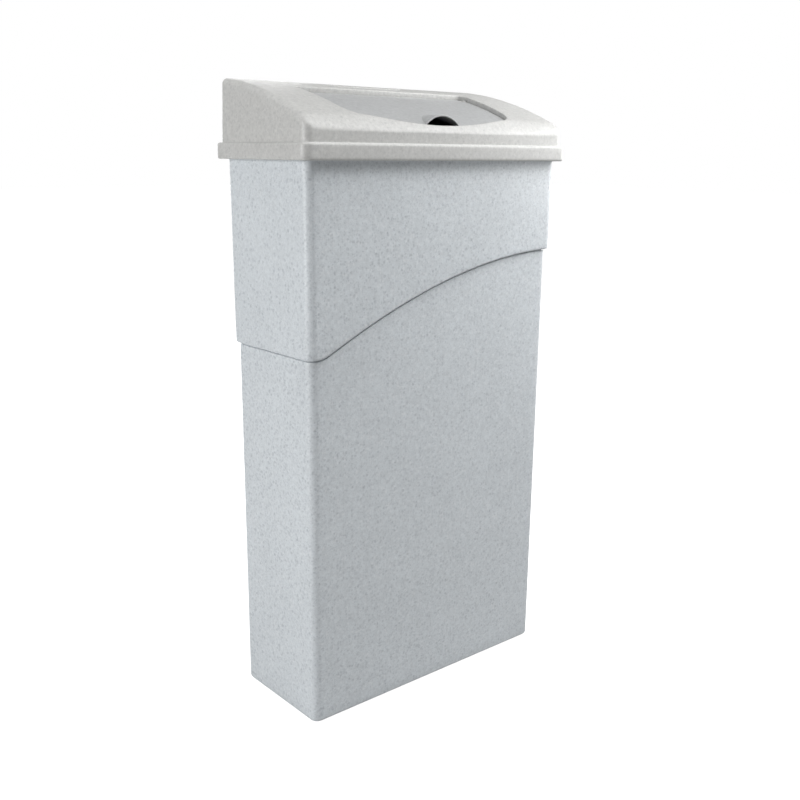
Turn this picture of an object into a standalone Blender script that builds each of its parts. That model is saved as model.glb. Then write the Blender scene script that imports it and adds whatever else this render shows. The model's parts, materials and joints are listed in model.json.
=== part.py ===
"""Slim litter bin with an ash mouth in its lid.

Metres, +Z up. The origin is on the floor under the middle of the bin, the front faces -Y,
and the bin's width runs along X. A tapered body with a wave-shaped step carries a lift-off
lid. The lid's sloping top holds a flap that lifts for litter, and a cowl in the flap's
front edge leads cigarette ends into a steel pan that slides in two rails under it.
"""

import math

import bmesh
import bpy
from mathutils import Matrix, Vector

# Body
BODY_WIDTH = 0.4657  # at the lid's skirt
BODY_DEPTH = 0.1960
UPPER_DRAFT = 0.0056  # how far each side of the upper part leans in, per metre of height
LOWER_DRAFT = 0.0020
BODY_TOP = 0.8163
BODY_FLOOR = 0.0010  # the foot pads stand this much proud
BODY_CORNER = 0.0125
BODY_WALL = 0.0035
BASE_THICKNESS = 0.006
BASE_ROUNDING = 0.006
STEP = 0.0043  # how far the upper part of the body stands out over the lower part
STEP_LOW = 0.5385  # the step's height on the left side
STEP_HIGH = 0.6635  # and on the right side
STEP_CREST_X = 0.235  # where the wave reaches its full height
STEP_RISE = 0.564  # the wave's fall from its crest is STEP_RISE * distance ** STEP_POWER
STEP_POWER = 1.87
STEP_BLEND = 0.004  # softens the bend where the wave leaves the low side
FLANGE_REACH = 0.0075  # the rim's flange, on which the lid rests
FLANGE_THICKNESS = 0.004
REBATE = 0.004  # seat for the bag ring inside the rim
REBATE_DEPTH = 0.0083

# Foot pads
FOOT_RADIUS = 0.015
FOOT_HEIGHT = 0.004
FOOT_X = 0.190
FOOT_Y = 0.060

# Lid
SKIRT_WIDTH = 0.4884
SKIRT_DEPTH = 0.2187
SKIRT_BOTTOM = 0.7976
SKIRT_TOP = 0.8196
SKIRT_CORNER = 0.012
HOOD_WIDTH = 0.4774  # at the skirt
HOOD_DEPTH = 0.2090
HOOD_DRAFT = 0.030
HOOD_CORNER = 0.011
HOOD_FRONT_TOP = 0.8355  # top of the hood's upright front face
HOOD_NOSE = 0.012  # depth of the rounding from there up to the crown
HOOD_EDGE = 0.006  # rounding of its side and back edges
HOOD_FRONT_EDGE = 0.0025
LID_WALL = 0.003
CROWN_HEIGHT = 0.8866  # the top's height at Y = 0, and how it rises towards the back
CROWN_SLOPE = 0.2762
CROWN_BEND = -0.8756

# Mouth of the lid: the opening that the flap covers
MOUTH_HALF_WIDTH = 0.160
MOUTH_BACK = 0.0400
MOUTH_FRONT = -0.0805  # at the front corners
MOUTH_BULGE = 0.0160  # how far the middle of the front edge runs on
MOUTH_TAPER = 0.05
MOUTH_CORNER = 0.010
MOUTH_FRONT_CORNER = 0.024
MOUTH_DIP = 0.0050  # the lid's top sinks this much towards the middle of the front edge
LEDGE_DROP = 0.0050  # the ledge's top lies this much below the flap's top
LEDGE_THICKNESS = 0.003
LEDGE_WIDTH = 0.0075
LEDGE_BACK_WIDTH = 0.0002  # almost none at the back, where the flap's edge swings down
GRIP_HALF_WIDTH = 0.072  # shallow hand grip in the ridge
GRIP_FRONT = 0.056
GRIP_BACK = 0.0805
GRIP_DEPTH = 0.0032

# Flap
FLAP_DROP = 0.0070  # how far its top lies below the lid's top
FLAP_THICKNESS = 0.0028
FLAP_GAP = 0.0014
FLAP_BACK = 0.0372
HINGE_Y = 0.0326
HINGE_DROP = 0.0043
BARREL_RADIUS = 0.0040
BARREL_INNER_X = 0.112
BARREL_OUTER_X = 0.1495
NOTCH_Y = 0.0234
COWL_RADIUS = 0.0422  # inside; a tube along Y that rises out of the flap
COWL_CENTRE_Z = 0.8150
COWL_WALL = 0.0025
COWL_FRONT = -0.0946
COWL_BACK = -0.046

# Hinge
PIN_RADIUS = 0.0020
PIN_INNER_X = 0.132
PIN_OUTER_X = 0.1578
BUSH_RADIUS = 0.0033
BUSH_INNER_X = 0.1500
BUSH_OUTER_X = 0.1572
LUG_INNER_X = 0.1518

# Bag ring
RING_CLEARANCE = 0.0005
RING_THICKNESS = 0.0025
RING_BOTTOM = 0.776
RING_FLANGE = 0.0030

# Ash pan and its rails
PAN_HALF_WIDTH = 0.058
PAN_FRONT = -0.0845
PAN_BACK = -0.032
PAN_BOTTOM = 0.770
PAN_SHEET = 0.0012
PAN_RIM_Z = 0.8255
PAN_RIM = 0.0045
CHUTE_HALF_WIDTH = 0.038
CHUTE_FRONT = -0.0932
CHUTE_TOP = 0.8345
RAIL_INNER_X = 0.0592
RAIL_OUTER_X = 0.0668
RAIL_BOTTOM = 0.8215
RAIL_TOP = 0.8295
RAIL_BACK = -0.036
TAB_BACK = -0.0948
TAB_THICKNESS = 0.0014
BOSS_BACK = -0.0965
SCREW_X = (0.0490, 0.0740)
SCREW_Z = 0.8272
SCREW_RADIUS = 0.0016
SCREW_HEAD = 0.0035

GAP = 0.0003  # between pieces that rest on each other
CORNER_STEPS = 7
LONG_STEPS = 20
SHORT_STEPS = 8


def clear_scene():
    for obj in list(bpy.data.objects):
        bpy.data.objects.remove(obj, do_unlink=True)


def new_collection(name):
    collection = bpy.data.collections.new(name)
    bpy.context.scene.collection.children.link(collection)
    return collection


def material(name, color, roughness, metallic=0.0):
    made = bpy.data.materials.new(name)
    made.use_nodes = True
    shader = made.node_tree.nodes["Principled BSDF"]
    shader.inputs["Base Color"].default_value = (*color, 1.0)
    shader.inputs["Roughness"].default_value = roughness
    shader.inputs["Metallic"].default_value = metallic
    return made


def add_object(name, mesh, collection):
    obj = bpy.data.objects.new(name, mesh)
    collection.objects.link(obj)
    return obj


def from_bmesh(name, bm, collection):
    bmesh.ops.recalc_face_normals(bm, faces=bm.faces)
    mesh = bpy.data.meshes.new(name)
    bm.to_mesh(mesh)
    bm.free()
    return add_object(name, mesh, collection)


def box(name, low, high, collection):
    bm = bmesh.new()
    size = Vector(high) - Vector(low)
    middle = (Vector(high) + Vector(low)) / 2
    bmesh.ops.create_cube(bm, size=1.0, matrix=Matrix.Translation(middle) @ Matrix.Diagonal((*size, 1)))
    return from_bmesh(name, bm, collection)


def cylinder(name, start, end, radius, collection, segments=32):
    """A closed cylinder from start to end."""
    along = Vector(end) - Vector(start)
    turn = Vector((0, 0, 1)).rotation_difference(along).to_matrix().to_4x4()
    place = Matrix.Translation((Vector(start) + Vector(end)) / 2) @ turn
    bm = bmesh.new()
    bmesh.ops.create_cone(
        bm, cap_ends=True, segments=segments, radius1=radius, radius2=radius, depth=along.length, matrix=place
    )
    return from_bmesh(name, bm, collection)


def tapered_box(name, low, high, corner, collection, base_rounding=0.0):
    """A box with rounded upright edges. low and high are (half width, half depth, z)."""
    bm = bmesh.new()
    bmesh.ops.create_cube(bm, size=2.0)
    for vert in bm.verts:
        half_width, half_depth, z = low if vert.co.z < 0 else high
        vert.co = Vector((vert.co.x * half_width, vert.co.y * half_depth, z))
    upright = [e for e in bm.edges if abs(e.verts[0].co.z - e.verts[1].co.z) > 1e-6]
    bmesh.ops.bevel(bm, geom=upright, offset=corner, segments=6, profile=0.5, affect="EDGES")
    if base_rounding:
        base = [e for e in bm.edges if max(v.co.z for v in e.verts) < low[2] + 1e-6]
        bmesh.ops.bevel(bm, geom=base, offset=base_rounding, segments=4, profile=0.5, affect="EDGES")
    return from_bmesh(name, bm, collection)


def prism(name, outline, half_length, axis, collection):
    """A flat outline extruded both ways. axis "Y" takes (x, z) points, "X" takes (y, z), "Z" takes (x, y)."""
    curve = bpy.data.curves.new(name, "CURVE")
    curve.dimensions = "2D"
    curve.fill_mode = "BOTH"
    curve.extrude = half_length
    spline = curve.splines.new("POLY")
    spline.points.add(len(outline) - 1)
    for point, (u, v) in zip(spline.points, outline):
        point.co = (u, v, 0, 1)
    spline.use_cyclic_u = True
    guide = add_object(name, curve, collection)
    turns = {"Z": Matrix.Identity(4), "Y": Matrix.Rotation(math.pi / 2, 4, "X")}
    turns["X"] = Matrix.Rotation(math.pi / 2, 4, "Z") @ turns["Y"]
    bpy.context.view_layer.update()
    graph = bpy.context.evaluated_depsgraph_get()
    mesh = bpy.data.meshes.new_from_object(guide.evaluated_get(graph))
    bpy.data.objects.remove(guide, do_unlink=True)
    bm = bmesh.new()
    bm.from_mesh(mesh)
    bpy.data.meshes.remove(mesh)
    bmesh.ops.remove_doubles(bm, verts=bm.verts, dist=1e-6)
    bmesh.ops.transform(bm, matrix=turns[axis], verts=bm.verts)
    return from_bmesh(name, bm, collection)


def loft(name, rings, collection):
    """A closed tube-like skin through rings of points, the last ring joined to the first."""
    bm = bmesh.new()
    rows = [[bm.verts.new(point) for point in ring] for ring in rings]
    for lower, upper in zip(rows, rows[1:] + rows[:1]):
        for i in range(len(lower)):
            j = (i + 1) % len(lower)
            bm.faces.new((lower[i], lower[j], upper[j], upper[i]))
    return from_bmesh(name, bm, collection)


def combine(target, other, operation):
    """Applies a Boolean of target with other, a helper that is then deleted."""
    modifier = target.modifiers.new(operation.title(), "BOOLEAN")
    modifier.operation = operation
    modifier.object = other
    bpy.context.view_layer.update()
    graph = bpy.context.evaluated_depsgraph_get()
    mesh = bpy.data.meshes.new_from_object(target.evaluated_get(graph))
    old = target.data
    target.modifiers.remove(modifier)
    target.data = mesh
    bpy.data.meshes.remove(old)
    bpy.data.objects.remove(other, do_unlink=True)


def cut(target, other):
    combine(target, other, "DIFFERENCE")


def join(target, other):
    combine(target, other, "UNION")


def keep_inside(target, other):
    combine(target, other, "INTERSECT")


def finish(obj, surface, collection, origin=None):
    """Moves a made piece to its collection, gives it its material and sets its origin."""
    for old in list(obj.users_collection):
        old.objects.unlink(obj)
    collection.objects.link(obj)
    obj.data.name = obj.name
    obj.data.materials.clear()
    obj.data.materials.append(surface)
    if origin is not None:
        obj.data.transform(Matrix.Translation(-Vector(origin)))
        obj.location = origin
    obj.data.shade_smooth()
    obj.data.set_sharp_from_angle(angle=math.radians(30))
    return obj


def body_half(z, inset=0.0):
    """Half width and half depth of the body's upper part at height z."""
    lean = UPPER_DRAFT * (SKIRT_BOTTOM - z) + inset
    return BODY_WIDTH / 2 - lean, BODY_DEPTH / 2 - lean


def lower_half(z, inset=0.0):
    """Half width and half depth of the body's lower part at height z."""
    step_z = (STEP_LOW + STEP_HIGH) / 2
    lean = STEP + LOWER_DRAFT * (step_z - z) + inset
    return body_half(step_z, lean)


def wave_height(x):
    """Height of the step across the front and back faces."""
    fall = STEP_RISE * max(STEP_CREST_X - x, 0.0) ** STEP_POWER
    wave = STEP_HIGH - fall
    return (STEP_LOW + wave + math.hypot(wave - STEP_LOW, STEP_BLEND)) / 2


def wave_prism(name, raise_by, collection):
    """Everything above the step's wave line, moved up by raise_by."""
    half = 0.30
    steps = 44
    xs = [-half] + [-BODY_WIDTH / 2 + BODY_WIDTH * i / steps for i in range(steps + 1)] + [half]
    line = [(x, wave_height(x) + raise_by) for x in xs]
    return prism(name, line + [(half, 0.9), (-half, 0.9)], half, "Y", collection)


def crown(y):
    """Height of the lid's top at depth y."""
    return CROWN_HEIGHT + CROWN_SLOPE * y + CROWN_BEND * y * y


def flap_top(y):
    """Height of the flap's top at depth y."""
    return crown(y) - FLAP_DROP


def rounded_outline(half_width, front, back, corner, front_corner=None):
    """A rounded rectangle's points, anticlockwise from the front right corner."""
    arcs = []
    for side, y, start in ((1, front, -90), (1, back, 0), (-1, back, 90), (-1, front, 180)):
        radius = front_corner if front_corner and y == front else corner
        centre_x = side * (half_width - radius)
        centre_y = y + radius if y == front else y - radius
        angles = [math.radians(start + 90 * step / CORNER_STEPS) for step in range(CORNER_STEPS + 1)]
        arcs.append([(centre_x + radius * math.cos(a), centre_y + radius * math.sin(a)) for a in angles])
    points = []
    for index, arc in enumerate(arcs):
        begin = arc[-1]
        end = arcs[(index + 1) % 4][0]
        steps = SHORT_STEPS if index % 2 == 0 else LONG_STEPS
        points += arc
        for step in range(1, steps):
            share = step / steps
            points.append(tuple(a + (b - a) * share for a, b in zip(begin, end)))
    return points


def mouth_outline(inset, back=MOUTH_BACK):
    """The lid's opening: a rectangle that narrows and bulges towards the front."""
    half_width = MOUTH_HALF_WIDTH - inset
    front = MOUTH_FRONT + inset
    corner = max(MOUTH_CORNER - inset, 0.002)
    front_corner = max(MOUTH_FRONT_CORNER - inset, 0.002)
    shaped = []
    for x, y in rounded_outline(half_width, front, back, corner, front_corner):
        forward = (back - y) / (back - front)
        bulge = MOUTH_BULGE * forward * (1 - (x / half_width) ** 2)
        shaped.append((x * (1 - MOUTH_TAPER * forward), y - bulge))
    return shaped


def inset_box_outline(width, depth, corner, inset):
    return rounded_outline(width / 2 - inset, -depth / 2 + inset, depth / 2 - inset, max(corner - inset, 0.002))


def hood_outline(share):
    """The hood's outline, moved in by a share of the rounding of its top edges."""
    edge = HOOD_EDGE * share
    front = -HOOD_DEPTH / 2 + HOOD_FRONT_EDGE * share
    return rounded_outline(HOOD_WIDTH / 2 - edge, front, HOOD_DEPTH / 2 - edge, HOOD_CORNER - edge)


def hood_top(y):
    """Height of the lid's top, rounded down into the front face."""
    front = -HOOD_DEPTH / 2
    if y >= front + HOOD_NOSE:
        return crown(y)
    share = min(1 - (y - front) / HOOD_NOSE, 1.0)
    rise = crown(front + HOOD_NOSE) - HOOD_FRONT_TOP
    return HOOD_FRONT_TOP + rise * math.sqrt(1 - share * share)


def lean_in(outline):
    """Moves an outline in by the draft of the hood's walls, which grows with the top's height."""
    shaped = []
    for x, y in outline:
        inwards = HOOD_DRAFT * (hood_top(y) - SKIRT_TOP)
        shaped.append((x * (1 - 2 * inwards / HOOD_WIDTH), y * (1 - 2 * inwards / HOOD_DEPTH)))
    return shaped


def mouth_dip(x, y):
    """How far the lid's top sinks beside the mouth's front edge."""
    forward = (MOUTH_BACK - y) / (MOUTH_BACK - MOUTH_FRONT + MOUTH_BULGE)
    return MOUTH_DIP * min(max(forward, 0.0), 1.0) ** 3 * (1 - 0.5 * (x / MOUTH_HALF_WIDTH) ** 2)


def blend_outlines(outer, inner, share):
    return [(a[0] + (b[0] - a[0]) * share, a[1] + (b[1] - a[1]) * share) for a, b in zip(outer, inner)]


def at_height(outline, z):
    return [(x, y, z) for x, y in outline]


def on_surface(outline, height, drop=0.0):
    return [(x, y, height(y) - drop) for x, y in outline]


def on_hood(outline, dip_share, drop=0.0):
    """An outline on the lid's top, with a share of the dip beside the mouth."""
    return [(x, y, hood_top(y) - mouth_dip(x, y) * dip_share - drop) for x, y in outline]


def foot_places():
    return [(side_x * FOOT_X, side_y * FOOT_Y) for side_x in (-1, 1) for side_y in (-1, 1)]


def make_body(helpers):
    low = (*lower_half(BODY_FLOOR), BODY_FLOOR)
    high = (*lower_half(BODY_TOP), BODY_TOP)
    body = tapered_box("bin_body", low, high, BODY_CORNER, helpers, BASE_ROUNDING)

    band_low = STEP_LOW - 0.02
    band = tapered_box(
        "band", (*body_half(band_low), band_low), (*body_half(BODY_TOP), BODY_TOP), BODY_CORNER, helpers
    )
    keep_inside(band, wave_prism("band_wave", 0.0, helpers))
    join(body, band)

    flange_half = [half + FLANGE_REACH for half in body_half(SKIRT_BOTTOM)]
    flange_low = (*flange_half, BODY_TOP - FLANGE_THICKNESS)
    flange = tapered_box("flange", flange_low, (*flange_half, BODY_TOP), BODY_CORNER + FLANGE_REACH, helpers)
    join(body, flange)

    inner_corner = BODY_CORNER - BODY_WALL
    inside_floor = BODY_FLOOR + BASE_THICKNESS
    hollow = tapered_box(
        "hollow",
        (*lower_half(inside_floor, BODY_WALL), inside_floor),
        (*lower_half(BODY_TOP + 0.01, BODY_WALL), BODY_TOP + 0.01),
        inner_corner,
        helpers,
        BASE_ROUNDING - BODY_WALL,
    )
    cut(body, hollow)
    upper = tapered_box(
        "upper_hollow",
        (*body_half(band_low, BODY_WALL), band_low),
        (*body_half(BODY_TOP + 0.01, BODY_WALL), BODY_TOP + 0.01),
        inner_corner,
        helpers,
    )
    keep_inside(upper, wave_prism("hollow_wave", 0.005, helpers))
    cut(body, upper)
    seat_half = [half + REBATE - BODY_WALL for half in body_half(SKIRT_BOTTOM)]
    seat_z = BODY_TOP - REBATE_DEPTH
    rim_under = [half + BODY_WALL for half in seat_half]
    seat_support = tapered_box(
        "seat_support", (*body_half(seat_z - 0.012), seat_z - 0.012), (*rim_under, seat_z), BODY_CORNER, helpers
    )
    collar = tapered_box("collar", (*rim_under, seat_z - 0.001), (*rim_under, BODY_TOP), BODY_CORNER, helpers)
    join(seat_support, collar)
    core_half = body_half(seat_z - 0.006, BODY_WALL * 0.5)
    core = tapered_box("core", (*core_half, seat_z - 0.02), (*core_half, BODY_TOP + 0.01), BODY_CORNER, helpers)
    cut(seat_support, core)
    join(body, seat_support)
    seat = tapered_box("seat", (*seat_half, seat_z), (*seat_half, BODY_TOP + 0.01), BODY_CORNER, helpers)
    cut(body, seat)

    for x, y in foot_places():
        top = FOOT_HEIGHT + GAP
        cut(body, cylinder("pocket", (x, y, -0.01), (x, y, top), FOOT_RADIUS + 0.0006, helpers))
    return body


def make_bag_ring(helpers):
    """An angle-section ring that hangs in the mouth and holds the bag's edge down."""
    half_width, half_depth = body_half(RING_BOTTOM, BODY_WALL + RING_CLEARANCE)
    seat_z = BODY_TOP - REBATE_DEPTH + GAP
    seat_half = [half + REBATE - BODY_WALL - RING_CLEARANCE for half in body_half(SKIRT_BOTTOM)]
    corner = BODY_CORNER - BODY_WALL
    inner = (half_width - RING_THICKNESS, half_depth - RING_THICKNESS)

    def ring(half, z, radius):
        return at_height(rounded_outline(half[0], -half[1], half[1], radius), z)

    rings = [
        ring((half_width, half_depth), RING_BOTTOM, corner),
        ring((half_width, half_depth), seat_z, corner),
        ring(seat_half, seat_z, corner + 0.003),
        ring(seat_half, seat_z + RING_FLANGE, corner + 0.003),
        ring(inner, seat_z + RING_FLANGE, corner - 0.002),
        ring(inner, RING_BOTTOM, corner - 0.002),
    ]
    return loft("bag_ring", rings, helpers)


def make_lid(helpers):
    skirt = (SKIRT_WIDTH, SKIRT_DEPTH, SKIRT_CORNER)
    mouth = mouth_outline(0.0)
    ledge = mouth_outline(LEDGE_WIDTH, MOUTH_BACK - LEDGE_BACK_WIDTH)
    bead = 0.003
    shoulder = BODY_TOP + GAP
    rings = [
        at_height(inset_box_outline(*skirt, LID_WALL), SKIRT_BOTTOM),
        at_height(inset_box_outline(*skirt, 0.0), SKIRT_BOTTOM),
        at_height(inset_box_outline(*skirt, 0.0), SKIRT_TOP - bead),
        at_height(inset_box_outline(*skirt, bead * 0.3), SKIRT_TOP - bead * 0.3),
        at_height(inset_box_outline(*skirt, bead), SKIRT_TOP),
        at_height(hood_outline(0.0), SKIRT_TOP),
    ]
    for share in (0.0, 0.3, 0.65, 1.0):
        drop = HOOD_EDGE * (1 - math.sqrt(1 - (1 - share) ** 2))
        rings.append(on_hood(lean_in(hood_outline(share)), 0.0, drop))
    top_outer = lean_in(hood_outline(1.0))
    for share in (0.04, 0.09, 0.16, 0.26, 0.4, 0.55, 0.7, 0.85, 1.0):
        rings.append(on_hood(blend_outlines(top_outer, mouth, share), share * share))
    rings.append(on_surface(mouth, flap_top, LEDGE_DROP))
    rings.append(on_surface(ledge, flap_top, LEDGE_DROP))
    rings.append(on_surface(ledge, flap_top, LEDGE_DROP + LEDGE_THICKNESS))
    under = mouth_outline(-LID_WALL, MOUTH_BACK + LID_WALL)
    foot = mouth_outline(-0.001, MOUTH_BACK + 0.001)
    rings.append(on_surface(foot, flap_top, LEDGE_DROP + LEDGE_THICKNESS))
    wall_low = rounded_outline(
        HOOD_WIDTH / 2 - LID_WALL, LID_WALL - HOOD_DEPTH / 2, HOOD_DEPTH / 2 - LID_WALL, HOOD_CORNER - LID_WALL
    )
    wall_high = lean_in(wall_low)
    for share in (0.8, 0.55, 0.3, 0.12):
        rings.append(on_hood(blend_outlines(wall_high, under, share), 1.0, LID_WALL))
    rings.append(on_hood(wall_high, 0.0, LID_WALL + HOOD_EDGE * 0.7))
    rings.append(at_height(wall_low, shoulder))
    rings.append(at_height(inset_box_outline(*skirt, LID_WALL), shoulder))
    lid = loft("lid_hood", rings, helpers)

    for side in (-1, 1):
        add_hinge_lug(lid, side, helpers)
        low_x, high_x = sorted((side * (SCREW_X[0] - 0.006), side * (SCREW_X[1] + 0.006)))
        boss_front = -HOOD_DEPTH / 2 + LID_WALL * 0.6
        join(lid, box("boss", (low_x, boss_front, 0.8218), (high_x, BOSS_BACK, 0.8332), helpers))
        for x in SCREW_X:
            start = (side * x, BOSS_BACK + 0.01, SCREW_Z)
            end = (side * x, BOSS_BACK - 0.0048, SCREW_Z)
            cut(lid, cylinder("screw_hole", start, end, SCREW_RADIUS + GAP, helpers, 16))
    drop_low = (-CHUTE_HALF_WIDTH - 0.002, CHUTE_FRONT - 0.0012, 0.80)
    drop_high = (CHUTE_HALF_WIDTH + 0.002, -0.080, 0.8455)
    cut(lid, box("ash_drop", drop_low, drop_high, helpers))
    cut(lid, make_grip_cutter(helpers))
    return lid


def add_hinge_lug(lid, side, helpers):
    """The block in the mouth's back corner that holds a bush and its pin."""
    hinge_z = flap_top(HINGE_Y) - HINGE_DROP
    xs = sorted((side * LUG_INNER_X, side * (MOUTH_HALF_WIDTH + 0.002)))
    low = (xs[0], NOTCH_Y + 0.0025, hinge_z - 0.0075)
    high = (xs[1], MOUTH_BACK + 0.001, hinge_z + 0.0046)
    join(lid, box("lug", low, high, helpers))
    start = (side * (LUG_INNER_X - 0.01), HINGE_Y, hinge_z)
    end = (side * (BUSH_OUTER_X + GAP), HINGE_Y, hinge_z)
    cut(lid, cylinder("bush_hole", start, end, BUSH_RADIUS + GAP, helpers, 24))


def make_grip_cutter(helpers):
    """A shallow ramp that deepens to the grip's upright back wall."""
    outline = [
        (GRIP_FRONT, crown(GRIP_FRONT)),
        (GRIP_BACK, crown(GRIP_BACK) - GRIP_DEPTH),
        (GRIP_BACK, crown(GRIP_BACK) + 0.02),
        (GRIP_FRONT, crown(GRIP_FRONT) + 0.02),
    ]
    return prism("grip", outline, GRIP_HALF_WIDTH, "X", helpers)


def profile_slab(name, top, bottom, half_width, helpers):
    """The flap's curved section extruded along X. top and bottom give the height at a depth."""
    front = MOUTH_FRONT - MOUTH_BULGE - 0.005
    back = FLAP_BACK
    steps = 16
    depths = [front + (back - front) * i / steps for i in range(steps + 1)]
    outline = [(y, bottom(y)) for y in depths] + [(y, top(y)) for y in reversed(depths)]
    return prism(name, outline, half_width, "X", helpers)


def make_flap(helpers):
    hinge_z = flap_top(HINGE_Y) - HINGE_DROP
    flap = profile_slab("flap", flap_top, lambda y: flap_top(y) - FLAP_THICKNESS, MOUTH_HALF_WIDTH, helpers)

    start = (0, COWL_FRONT, COWL_CENTRE_Z)
    end = (0, COWL_BACK, COWL_CENTRE_Z)
    cowl = cylinder("cowl", start, end, COWL_RADIUS + COWL_WALL, helpers, 64)
    above = profile_slab("above", lambda y: 0.95, lambda y: flap_top(y) - FLAP_THICKNESS / 2, 0.06, helpers)
    keep_inside(cowl, above)
    join(flap, cowl)
    inside_start = (0, COWL_FRONT - 0.02, COWL_CENTRE_Z)
    inside_end = (0, COWL_BACK - 0.003, COWL_CENTRE_Z)
    cut(flap, cylinder("cowl_inside", inside_start, inside_end, COWL_RADIUS, helpers, 64))

    outline = mouth_outline(FLAP_GAP, FLAP_BACK)
    flap_area = prism("flap_area", outline, 0.95, "Z", helpers)
    keep_inside(flap, flap_area)
    for side in (-1, 1):
        barrel_start = (side * BARREL_INNER_X, HINGE_Y, hinge_z)
        barrel_end = (side * BARREL_OUTER_X, HINGE_Y, hinge_z)
        xs = sorted((side * (BARREL_OUTER_X + 0.0001), side * 0.17))
        cut(flap, box("notch", (xs[0], NOTCH_Y, 0.8), (xs[1], 0.06, 0.95), helpers))
        join(flap, cylinder("barrel", barrel_start, barrel_end, BARREL_RADIUS, helpers, 24))
        bore_start = (side * (PIN_INNER_X - 0.001), HINGE_Y, hinge_z)
        bore_end = (side * (BARREL_OUTER_X + 0.01), HINGE_Y, hinge_z)
        cut(flap, cylinder("pin_bore", bore_start, bore_end, PIN_RADIUS + 0.0001, helpers, 24))
    return flap


def make_hinge_piece(side, helpers):
    """A hinge pin and the bush that holds it in the lid."""
    hinge_z = flap_top(HINGE_Y) - HINGE_DROP
    label = "left" if side < 0 else "right"

    def along(x):
        return (side * x, HINGE_Y, hinge_z)

    pin = cylinder("hinge_pin_" + label, along(PIN_INNER_X), along(PIN_OUTER_X - 0.001), PIN_RADIUS, helpers, 24)
    bush = cylinder("hinge_bush_" + label, along(LUG_INNER_X + GAP), along(BUSH_OUTER_X), BUSH_RADIUS, helpers, 24)
    head = cylinder("bush_head", along(BUSH_INNER_X), along(LUG_INNER_X - GAP), BUSH_RADIUS + 0.0012, helpers, 24)
    neck = cylinder("bush_neck", along(BUSH_INNER_X + 0.0005), along(LUG_INNER_X + 0.001), BUSH_RADIUS, helpers, 24)
    join(bush, neck)
    join(bush, head)
    cut(bush, cylinder("bush_bore", along(0.14), along(PIN_OUTER_X - 0.001 + GAP), PIN_RADIUS + GAP / 3, helpers, 24))
    return pin, bush


def make_bumper(side, helpers):
    """A small rubber pad on the front ledge that the closed flap rests on."""
    x = side * 0.105
    outline_y = MOUTH_FRONT - MOUTH_BULGE * (1 - (x / MOUTH_HALF_WIDTH) ** 2)
    y = outline_y + 0.0045
    slope = (flap_top(y + 0.001) - flap_top(y - 0.001)) / 0.002
    normal = Vector((0, -slope, 1)).normalized()
    base = Vector((x, y, flap_top(y) - LEDGE_DROP)) + normal * GAP
    top = base + normal * (LEDGE_DROP * normal.z - FLAP_THICKNESS * normal.z - 2 * GAP)
    label = "left" if side < 0 else "right"
    return cylinder("flap_bumper_" + label, base, top, 0.0026, helpers, 24)


def make_pan(helpers):
    """A deep pan with a rim that runs in the rails and a chute that reaches under the mouth."""
    low = (-PAN_HALF_WIDTH, PAN_FRONT, PAN_BOTTOM)
    rim_top = PAN_RIM_Z + PAN_SHEET / 2
    pan = box("ash_pan", low, (PAN_HALF_WIDTH, PAN_BACK, rim_top), helpers)
    rim_half = PAN_HALF_WIDTH + PAN_RIM
    rim_low = (-rim_half, PAN_FRONT + 0.001, PAN_RIM_Z - PAN_SHEET / 2)
    join(pan, box("rim", rim_low, (rim_half, PAN_BACK + PAN_RIM, rim_top), helpers))
    chute = [
        (PAN_FRONT + PAN_SHEET, rim_top - 0.004),
        (PAN_FRONT, rim_top - 0.004),
        (CHUTE_FRONT, CHUTE_TOP - PAN_SHEET),
        (CHUTE_FRONT, CHUTE_TOP),
        (PAN_FRONT + PAN_SHEET, rim_top + 0.0002),
    ]
    join(pan, prism("chute", chute, CHUTE_HALF_WIDTH, "X", helpers))
    inside_low = (low[0] + PAN_SHEET, low[1] + PAN_SHEET, low[2] + PAN_SHEET)
    inside_high = (PAN_HALF_WIDTH - PAN_SHEET, PAN_BACK - PAN_SHEET, rim_top + 0.02)
    cut(pan, box("inside", inside_low, inside_high, helpers))
    return pan


def make_rail(side, helpers):
    """A folded steel channel with a tab that is screwed to the lid's front."""
    label = "left" if side < 0 else "right"
    xs = sorted((side * RAIL_INNER_X, side * RAIL_OUTER_X))
    front = TAB_BACK - TAB_THICKNESS
    rail = box("pan_rail_" + label, (xs[0], front + 0.0002, RAIL_BOTTOM), (xs[1], RAIL_BACK, RAIL_TOP), helpers)
    slot = sorted((side * (RAIL_INNER_X - 0.01), side * (RAIL_OUTER_X - 0.0014)))
    slot_low = (slot[0], TAB_BACK + 0.0005, PAN_RIM_Z - PAN_SHEET / 2 - 0.0005)
    slot_high = (slot[1], RAIL_BACK + 0.01, PAN_RIM_Z + PAN_SHEET / 2 + 0.0005)
    cut(rail, box("slot", slot_low, slot_high, helpers))
    tab = sorted((side * (SCREW_X[0] - 0.005), side * (SCREW_X[1] + 0.005)))
    tab_low = (tab[0], front, RAIL_BOTTOM + 0.0008)
    tab_high = (tab[1], TAB_BACK, RAIL_TOP + 0.0025)
    join(rail, box("tab", tab_low, tab_high, helpers))
    for x in SCREW_X:
        start = (side * x, TAB_BACK + 0.004, SCREW_Z)
        end = (side * x, front - 0.004, SCREW_Z)
        cut(rail, cylinder("tab_hole", start, end, SCREW_RADIUS + GAP, helpers, 16))
    return rail


def make_screw(name, x, helpers):
    """A pan-head screw through a rail's tab into the lid's boss."""
    head_back = (x, TAB_BACK + GAP + 0.0018, SCREW_Z)
    seat = (x, TAB_BACK + GAP, SCREW_Z)
    tip = (x, BOSS_BACK - 0.0042, SCREW_Z)
    screw = cylinder(name, (x, TAB_BACK + GAP + 0.0008, SCREW_Z), tip, SCREW_RADIUS, helpers, 16)
    join(screw, cylinder("head", head_back, seat, SCREW_HEAD, helpers, 20))
    return screw


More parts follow.
